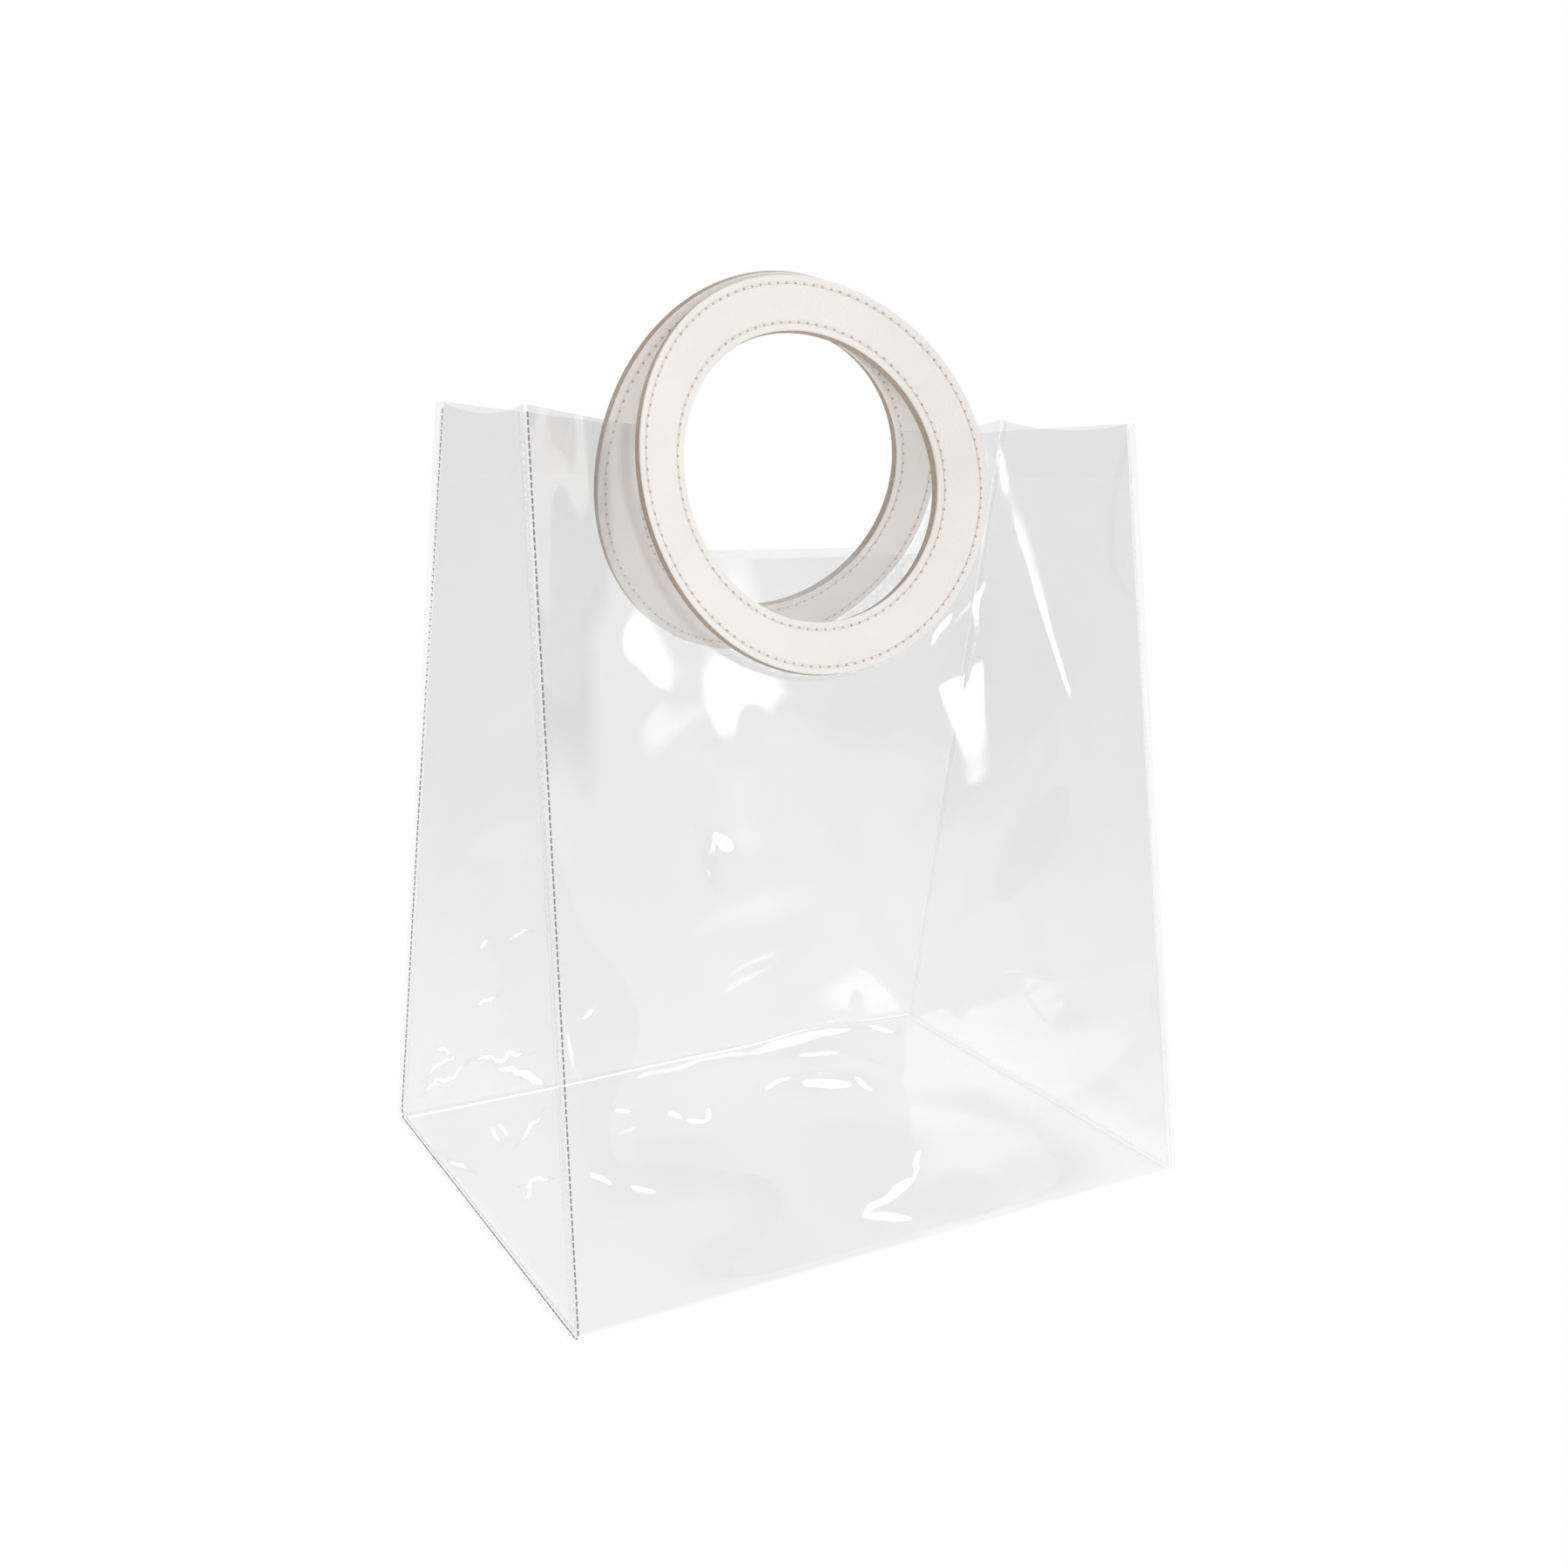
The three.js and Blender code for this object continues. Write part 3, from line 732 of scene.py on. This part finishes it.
# Seam stitches on both faces of a side seam, from the front's top corner around the base to the back's.
# materials: thread on the outer face and on the inner face
def seam_stitches(name, sheet, side, thread, materials):
    normals = sheet_normals(sheet)
    first, second = (MARGIN_LANES, MARGIN_LANES - 1) if side < 0 else (-MARGIN_LANES - 1, -MARGIN_LANES)
    path = mix(sheet[first], sheet[second], SEAM_SHARE)
    out = normals[first]
    lengths = np.concatenate([[0], np.cumsum(np.linalg.norm(np.diff(path, axis=0), axis=1))])
    centres_at = np.arange(SEAM_START, lengths[-1] - SEAM_START, SEAM_PITCH)
    stitch = capsule(SEAM_STITCH, thread, sides=6, cap_rings=2)
    parts = []
    lift = FILM / 2 + SEAM_LIFT * thread
    for face, depth in enumerate((lift, -(WALL + WALL_GAP + lift))):
        line = path + out * depth
        line[:, 2] = np.maximum(line[:, 2], thread + SEAM_CLEAR)
        centres = along_line(lengths, line, centres_at)
        ahead = along_line(lengths, line, centres_at + SEAM_REACH)
        behind = along_line(lengths, line, centres_at - SEAM_REACH)
        facing = along_line(lengths, out, centres_at)
        parts.append((copies(stitch, centres, ahead - behind, facing), face))
    points, faces, material_index = joined(parts)
    return mesh_object(name, points, faces, materials, material_index)


# Nodes of a material, the world or a lamp
class Nodes:
    def __init__(self, tree):
        self.tree = tree

    def fill(self, node, inputs):
        for key, value in inputs.items():
            if isinstance(value, bpy.types.NodeSocket):
                self.tree.links.new(value, node.inputs[key])
            else:
                node.inputs[key].default_value = value

    def add(self, kind, inputs=None, **settings):
        node = self.tree.nodes.new(kind)
        for key, value in settings.items():
            setattr(node, key, value)
        self.fill(node, inputs or {})
        return node

    def ramp(self, value, stops):
        node = self.add("ShaderNodeValToRGB", {"Fac": value})
        elements = node.color_ramp.elements
        while len(elements) < len(stops):
            elements.new(0.5)
        for element, (position, colour) in zip(elements, stops):
            element.position = position
            element.color = (*colour, 1)
        return node.outputs["Color"]

    def math(self, operation, *values):
        return self.add("ShaderNodeMath", dict(enumerate(values)), operation=operation).outputs[0]

    def vector(self, operation, *values):
        node = self.add("ShaderNodeVectorMath", dict(enumerate(values)), operation=operation)
        return node.outputs["Value" if operation == "LENGTH" else "Vector"]

    def spread(self, value, low, high, to_low=0.0, to_high=1.0, **settings):
        inputs = {"Value": value, "From Min": low, "From Max": high, "To Min": to_low, "To Max": to_high}
        return self.add("ShaderNodeMapRange", inputs, **settings).outputs["Result"]

    def levels(self, angle, stops, low, high):
        share = self.spread(angle, math.radians(low), math.radians(high))
        greys = [((degrees - low) / (high - low), (level, level, level)) for degrees, level in stops]
        return self.ramp(share, greys)


# Nodes of a material, around its own shader
class MaterialNodes(Nodes):
    def __init__(self, name):
        self.material = bpy.data.materials.new(name)
        self.material.use_nodes = True
        super().__init__(self.material.node_tree)
        self.place = self.add("ShaderNodeTexCoord").outputs["Object"]

    def set(self, **values):
        inputs = {key.replace("_", " "): value for key, value in values.items()}
        self.fill(self.tree.nodes["Principled BSDF"], inputs)

    def noise(self, scale, detail=2.0, rough=0.5, stretch=None):
        vector = self.place
        if stretch is not None:
            vector = self.add("ShaderNodeMapping", {"Vector": vector, "Scale": stretch}).outputs["Vector"]
        inputs = {"Vector": vector, "Scale": scale, "Detail": detail, "Roughness": rough}
        return self.add("ShaderNodeTexNoise", inputs).outputs["Fac"]

    def bump(self, height, strength, distance, normal=None):
        inputs = {"Height": height, "Strength": strength, "Distance": distance}
        if normal is not None:
            inputs["Normal"] = normal
        return self.add("ShaderNodeBump", inputs).outputs["Normal"]


# Film that mirrors the studio, with painted shade in its tint: what it mirrors is scaled near white at the
# floor
# and greyer higher up. alpha: how much of it mirrors. grey: the painted shade tint at 0.12 and at 0.30
# metres
# above the floor. marked: surfaces whose press marks it carries
def film_material(name, alpha, grey, marked=()):
    nodes = MaterialNodes(name)
    height = nodes.add("ShaderNodeSeparateXYZ", {0: nodes.place}).outputs["Z"]
    cloudy = nodes.spread(nodes.noise(9.0, 2.0), 0.3, 0.7, -0.03, 0.03)
    share = nodes.spread(nodes.math("ADD", height, cloudy), 0.0, 0.30)
    # painted shade: the tint that scales the film's mirror falls from near white at the floor to the given
    # greys higher up
    painted_shade_tones = [(stop, (tone, tone, tone + 0.004)) for stop, tone in zip((0.0, 0.4, 1.0), (0.965, *grey))]
    tint = nodes.ramp(share, painted_shade_tones)
    cast = nodes.ramp(nodes.noise(6.0, 1.0), [(0.40, (0.992, 0.994, 1.0)), (0.60, (1.0, 0.99, 0.99))])
    mixed = {"Factor": 1.0, "A": tint, "B": cast}
    tint = nodes.add("ShaderNodeMix", mixed, data_type="RGBA", blend_type="MULTIPLY").outputs["Result"]
    roughness = nodes.spread(nodes.noise(60.0, 2.0, 0.6), 0.3, 0.75, 0.02, 0.06)
    normal = nodes.bump(nodes.noise(11.0, 1.5), 0.10, 0.004)
    if marked:
        normal = marked_normal(nodes, normal, marked)
    nodes.set(Base_Color=tint, Metallic=1.0, Roughness=roughness, Alpha=alpha, Normal=normal)
    return nodes.material


# The film's normal, leaning where a press mark is
def marked_normal(nodes, normal, marked):
    wobble = nodes.add("ShaderNodeTexNoise", {"Vector": nodes.place, "Scale": 70.0, "Detail": 1.0})
    shift = nodes.vector("SUBTRACT", wobble.outputs["Color"], (0.5, 0.5, 0.5))
    place = nodes.vector("MULTIPLY_ADD", shift, (0.007, 0.007, 0.007), nodes.place)
    crinkle = nodes.spread(nodes.noise(150.0, 1.0), 0.3, 0.7, 0.9, 1.08)
    for mark in MARKS:
        if mark["face"] not in marked:
            continue
        total = 0.0
        for spot in mark["spots"]:
            inputs = {"Vector": place, **spot_axes(mark, spot)}
            own = nodes.add("ShaderNodeMapping", inputs, vector_type="TEXTURE").outputs["Vector"]
            away = nodes.vector("LENGTH", own)
            share = nodes.spread(away, 0.35, 1.0, spot.get("full", 1.0), 0.0)
            total = nodes.math("MAXIMUM", total, share)
        lean = nodes.vector("MULTIPLY", nodes.math("MULTIPLY", total, crinkle), mark["lean"])
        normal = nodes.vector("ADD", normal, lean)
    return nodes.vector("NORMALIZE", normal)


# Place, turn and size of a spot's oval foot
def spot_axes(mark, spot):
    off = mark["off"]
    a, b = spot["at"]
    long, wide = spot["long"] * MARK_FOOT, spot["wide"] * MARK_FOOT
    turn = math.radians(spot["turn"])
    if mark["face"] == "base":
        location, rotation, scale = (a, b, off), (0, 0, turn), (long, wide, MARK_REACH)
    elif mark["face"] in ("left", "right"):
        location, rotation, scale = (off, a, b), (turn, 0, 0), (MARK_REACH, long, wide)
    else:
        location, rotation, scale = (a, off, b), (0, -turn, 0), (long, MARK_REACH, wide)
    return {"Location": Vector(location) * MM, "Rotation": rotation, "Scale": Vector(scale) * MM}


def film_edge_material():
    nodes = MaterialNodes("film_edge")
    tint = nodes.ramp(nodes.noise(180.0, 2.0), [(0.3, (0.66, 0.67, 0.71)), (0.7, (0.76, 0.77, 0.80))])
    normal = nodes.bump(nodes.noise(900.0), 0.2, 0.0002)
    nodes.set(Base_Color=tint, Roughness=0.3, Alpha=0.14, Normal=normal)
    return nodes.material


def leather_material():
    nodes = MaterialNodes("cream_leather")
    patches = nodes.noise(28.0, 4.0, 0.6)
    tint = nodes.ramp(patches, [(0.3, (0.785, 0.745, 0.703)), (0.7, (0.825, 0.79, 0.757))])
    pebbles = nodes.add("ShaderNodeTexVoronoi", {"Vector": nodes.place, "Scale": 950.0}, feature="F1")
    grain = nodes.bump(pebbles.outputs["Distance"], 0.28, 0.00025)
    creases = nodes.bump(nodes.noise(240.0, 5.0, 0.65), 0.22, 0.0005, grain)
    roughness = nodes.spread(nodes.noise(120.0, 3.0), 0.3, 0.7, 0.45, 0.62)
    nodes.set(Base_Color=tint, Roughness=roughness, Specular_IOR_Level=0.35, Normal=creases)
    return nodes.material


def rim_material():
    nodes = MaterialNodes("rim_leather")
    fibres = nodes.noise(420.0, 4.0, 0.7, stretch=(1.0, 3.0, 1.0))
    tint = nodes.ramp(fibres, [(0.3, (0.36, 0.265, 0.19)), (0.7, (0.50, 0.39, 0.30))])
    nodes.set(Base_Color=tint, Roughness=0.6, Normal=nodes.bump(fibres, 0.4, 0.0003))
    return nodes.material


def thread_material(name, dark, light):
    nodes = MaterialNodes(name)
    wave = nodes.noise(1500.0, 2.0)
    tint = nodes.ramp(wave, [(0.3, dark), (0.7, light)])
    nodes.set(Base_Color=tint, Roughness=0.7, Sheen_Weight=0.2, Normal=nodes.bump(wave, 0.4, 0.0001))
    return nodes.material


# Needle holes: the hole is real, and its dark brown is painted shade inside it
def hole_shade_material():
    nodes = MaterialNodes("needle_hole_shade")
    tint = nodes.ramp(nodes.noise(800.0), [(0.3, (0.46, 0.385, 0.32)), (0.7, (0.58, 0.505, 0.44))])
    nodes.set(Base_Color=tint, Roughness=0.8)
    return nodes.material


# The floor is white to the eye, and grey where the film mirrors it: brightness near the bag and far away
MIRRORED_FLOOR = (0.85, 0.62)


def floor_material():
    nodes = MaterialNodes("floor_white")
    tone = nodes.ramp(nodes.noise(1.2, 2.0), [(0.3, (0.018, 0.018, 0.018)), (0.7, (0.022, 0.022, 0.022))])
    mirrored = nodes.add("ShaderNodeLightPath").outputs["Is Glossy Ray"]
    away = nodes.vector("LENGTH", nodes.place)
    glow = nodes.spread(mirrored, 0.0, 1.0, 0.98, nodes.spread(away, 0.15, 0.7, *MIRRORED_FLOOR))
    nodes.set(Base_Color=tone, Roughness=0.9, Specular_IOR_Level=0.1)
    nodes.set(Emission_Color=(1, 1, 1, 1), Emission_Strength=glow)
    return nodes.material


def build_floor():
    half = 6000.0
    points = [(-half, -half, 0), (half, -half, 0), (half, half, 0), (-half, half, 0)]
    floor = mesh_object("floor", points, [(0, 1, 2, 3)], [floor_material()])


# The grey studio that glossy surfaces mirror: its brightness around, in degrees from the front, positive to
# the right, and how that changes with the height above the horizon in degrees
STUDIO_AROUND = [
    (-180, 0.70), (-120, 0.70), (-20, 0.74), (23, 0.82), (28, 0.74), (36, 0.84), (72, 0.76), (84, 0.22),
    (104, 0.22), (114, 0.72), (180, 0.74),
]
STUDIO_UP = [(0, 1.0), (8, 1.0), (23, 0.95), (29, 0.76), (45, 0.70)]

# The soft light that falls on matt surfaces from around, in the same degrees
LIGHT_AROUND = [(-180, 0.95), (-110, 0.6), (-80, 0.12), (-44, 0.15), (-30, 0.95), (40, 0.92), (180, 0.95)]


# White all around to the eye, a grey studio where a glossy surface mirrors it, and soft light on the rest
def build_world():
    world = bpy.data.worlds.new("studio")
    bpy.context.scene.world = world
    world.use_nodes = True
    nodes = Nodes(world.node_tree)
    nodes.tree.nodes.clear()
    path = nodes.add("ShaderNodeLightPath").outputs
    toward = nodes.add("ShaderNodeTexCoord").outputs["Generated"]
    axes = nodes.add("ShaderNodeSeparateXYZ", {0: toward}).outputs
    azimuth = nodes.math("ARCTAN2", axes["X"], nodes.math("MULTIPLY", axes["Y"], -1.0))
    elevation = nodes.math("ARCSINE", axes["Z"])
    around = nodes.levels(azimuth, STUDIO_AROUND, -180, 180)
    upward = nodes.levels(elevation, STUDIO_UP, 0, 90)
    light = nodes.levels(azimuth, LIGHT_AROUND, -180, 180)
    mirrored = nodes.add("ShaderNodeBackground", {"Color": around, "Strength": upward}).outputs[0]
    seen = nodes.add("ShaderNodeBackground", {"Color": (1, 1, 1, 1)}).outputs[0]
    surface = nodes.add("ShaderNodeBackground", {"Color": light}).outputs[0]
    for kind, shown in (("Is Glossy Ray", mirrored), ("Is Camera Ray", seen)):
        surface = nodes.add("ShaderNodeMixShader", {0: path[kind], 1: surface, 2: shown}).outputs[0]
    nodes.add("ShaderNodeOutputWorld", {"Surface": surface})


# Soft boxes. azimuth: degrees from the front, positive to the right. size: width and height in metres.
# mirrored: a window that glossy surfaces show, or else a lamp that only lights matt ones.
SOFT_BOXES = {
    "window_right": dict(azimuth=58.5, elevation=31, size=(1.15, 0.70), radiance=4, mirrored=True),
    "window_front": dict(azimuth=-2.5, elevation=29.5, size=(0.39, 0.51), radiance=4, mirrored=True),
    "window_back": dict(azimuth=150, elevation=48, size=(1.7, 0.9), radiance=4, mirrored=True),
    "window_left": dict(azimuth=-150, elevation=20, size=(1.6, 1.0), radiance=2.6, mirrored=True),
    "overhead": dict(azimuth=20, elevation=62, size=(1.6, 1.2), radiance=1.3, mirrored=False),
    "fill": dict(azimuth=-36, elevation=12, size=(0.9, 1.2), radiance=2.7, mirrored=False),
}
BOX_EDGE = 0.3
BOX_DISTANCE = 2.2
AIM = Vector((0, 0, 0.18))


# Fade a window's brightness toward its edges
def soften(light):
    light.use_nodes = True
    nodes = Nodes(light.node_tree)
    place = nodes.add("ShaderNodeNewGeometry").outputs["Parametric"]
    axes = nodes.add("ShaderNodeSeparateXYZ", {0: place}).outputs
    product = 1.0
    for axis in ("X", "Y"):
        for edge, inside in ((0.0, BOX_EDGE), (1.0, 1.0 - BOX_EDGE)):
            fade = nodes.spread(axes[axis], edge, inside, interpolation_type="SMOOTHSTEP")
            product = nodes.math("MULTIPLY", product, fade)
    nodes.fill(nodes.tree.nodes["Emission"], {"Strength": product})


def build_lights():
    for name, box in SOFT_BOXES.items():
        light = bpy.data.lights.new(name, "AREA")
        light.shape = "RECTANGLE"
        light.size, light.size_y = box["size"]
        light.energy = box["radiance"] * math.pi * light.size * light.size_y
        azimuth = math.radians(box["azimuth"])
        elevation = math.radians(box["elevation"])
        level = math.cos(elevation)
        toward = Vector((math.sin(azimuth) * level, -math.cos(azimuth) * level, math.sin(elevation)))
        lamp = bpy.data.objects.new(name, light)
        lamp.location = AIM + toward * BOX_DISTANCE
        lamp.rotation_euler = toward.to_track_quat("Z", "Y").to_euler()
        lamp.visible_camera = False
        lamp.visible_glossy = box["mirrored"]
        lamp.visible_diffuse = not box["mirrored"]
        if box["mirrored"]:
            soften(light)
        bpy.context.scene.collection.objects.link(lamp)


# Camera of the photograph
CAMERA_PLACE = Vector((-0.2943, -0.4878, 0.2794))
CAMERA_TURN = math.radians(30.86)
CAMERA_PITCH = math.radians(13.23)
CAMERA_ROLL = math.radians(1.85)
CAMERA_LENS = 36.12


def build_camera():
    toward = Vector(
        (
            math.sin(CAMERA_TURN) * math.cos(CAMERA_PITCH),
            math.cos(CAMERA_TURN) * math.cos(CAMERA_PITCH),
            -math.sin(CAMERA_PITCH),
        )
    )
    right = Vector((math.cos(CAMERA_TURN), -math.sin(CAMERA_TURN), 0))
    up = right.cross(toward)
    rolled_right = math.cos(CAMERA_ROLL) * right + math.sin(CAMERA_ROLL) * up
    rolled_up = -math.sin(CAMERA_ROLL) * right + math.cos(CAMERA_ROLL) * up
    lens = bpy.data.cameras.new("photo_camera")
    lens.sensor_width = 36
    lens.lens = CAMERA_LENS
    lens.clip_start = 0.01
    camera = bpy.data.objects.new("photo_camera", lens)
    axes = Matrix((rolled_right, rolled_up, -toward)).transposed()
    camera.matrix_world = Matrix.Translation(CAMERA_PLACE) @ axes.to_4x4()
    bpy.context.scene.collection.objects.link(camera)
    bpy.context.scene.camera = camera


def build_bag():
    # Painted shade: the creased film on the gussets and base takes a darker grey at mid height than the
    # clear film
    film = film_material("clear_film", alpha=0.14, grey=(0.81, 0.73), marked=("front",))
    creased_faces = ("left", "right", "base")
    creased_film = film_material("creased_film", alpha=0.14, grey=(0.62, 0.69), marked=creased_faces)
    margin_film = film_material("margin_film", alpha=0.04, grey=(0.81, 0.73))
    film_edge = film_edge_material()
    leather = leather_material()
    rim = rim_material()
    cream_thread = thread_material("cream_thread", (0.76, 0.71, 0.655), (0.84, 0.80, 0.755))
    # a darker copy of the seam thread, its darkness painted shade of the left seam's film edges and fold
    shade_painted_thread = thread_material("seam_thread_painted_shade", (0.19, 0.19, 0.23), (0.31, 0.31, 0.36))
    pale_thread = thread_material("seam_thread_pale", (0.86, 0.86, 0.88), (0.94, 0.94, 0.95))
    needle_hole_shade = hole_shade_material()

    sheet, in_hole = sheet_grid()
    quads = grid_quads(*sheet.shape[:2])
    base_start = PANEL_ROWS + FOLD_ROWS
    finish = np.zeros(in_hole.shape, int)
    finish[:, base_start : base_start + BASE_ROWS] = 1
    finish[against_ring(sheet)] = 2
    finish[:MARGIN_LANES] = 2
    finish[-MARGIN_LANES:] = 2
    points, faces, finish = film_wall(sheet.reshape(-1, 3), quads[~in_hole], FILM, finish[~in_hole])
    body = mesh_object("body_film", points, faces, [film, creased_film, margin_film, film_edge], finish)
    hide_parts("body_sheet")
    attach(body, "root")
    body.visible_shadow = False

    # The left seam's outer stitches use the painted shade copy of the thread; the right seam's and all
    # inner stitches are pale
    for side, word, thread in ((-1, "left", shade_painted_thread), (1, "right", pale_thread)):
        points, gusset_quads, is_margin = gusset_surface(sheet, side)
        points, faces, finish = film_wall(points, gusset_quads, FILM, is_margin)
        finishes = [creased_film, margin_film, film_edge]
        gusset = mesh_object(f"gusset_film_{word}", points, faces, finishes, finish)
        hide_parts(f"gusset_{word}")
        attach(gusset, "root")
        gusset.visible_shadow = False
        seam = seam_stitches(f"seam_stitches_{word}", sheet, side, SEAM_THREAD[word], [thread, pale_thread])
        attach(seam, "root")

    for name, panel in PANELS.items():
        ring = ring_piece(f"ring_leather_{name}", panel, [leather, rim])
        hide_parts(f"ring_{name}")
        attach(ring, "root")
        stitches = ring_stitches(f"ring_stitches_{name}", panel, [cream_thread, needle_hole_shade])
        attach(stitches, "root")


build_camera()
build_bag()
build_floor()
build_world()
build_lights()
bpy.context.scene.view_settings.view_transform = "Standard"
bpy.context.scene.cycles.transparent_max_bounces = 40
bpy.context.scene.cycles.max_bounces = 5
bpy.context.scene.cycles.diffuse_bounces = 2
bpy.context.scene.cycles.glossy_bounces = 3
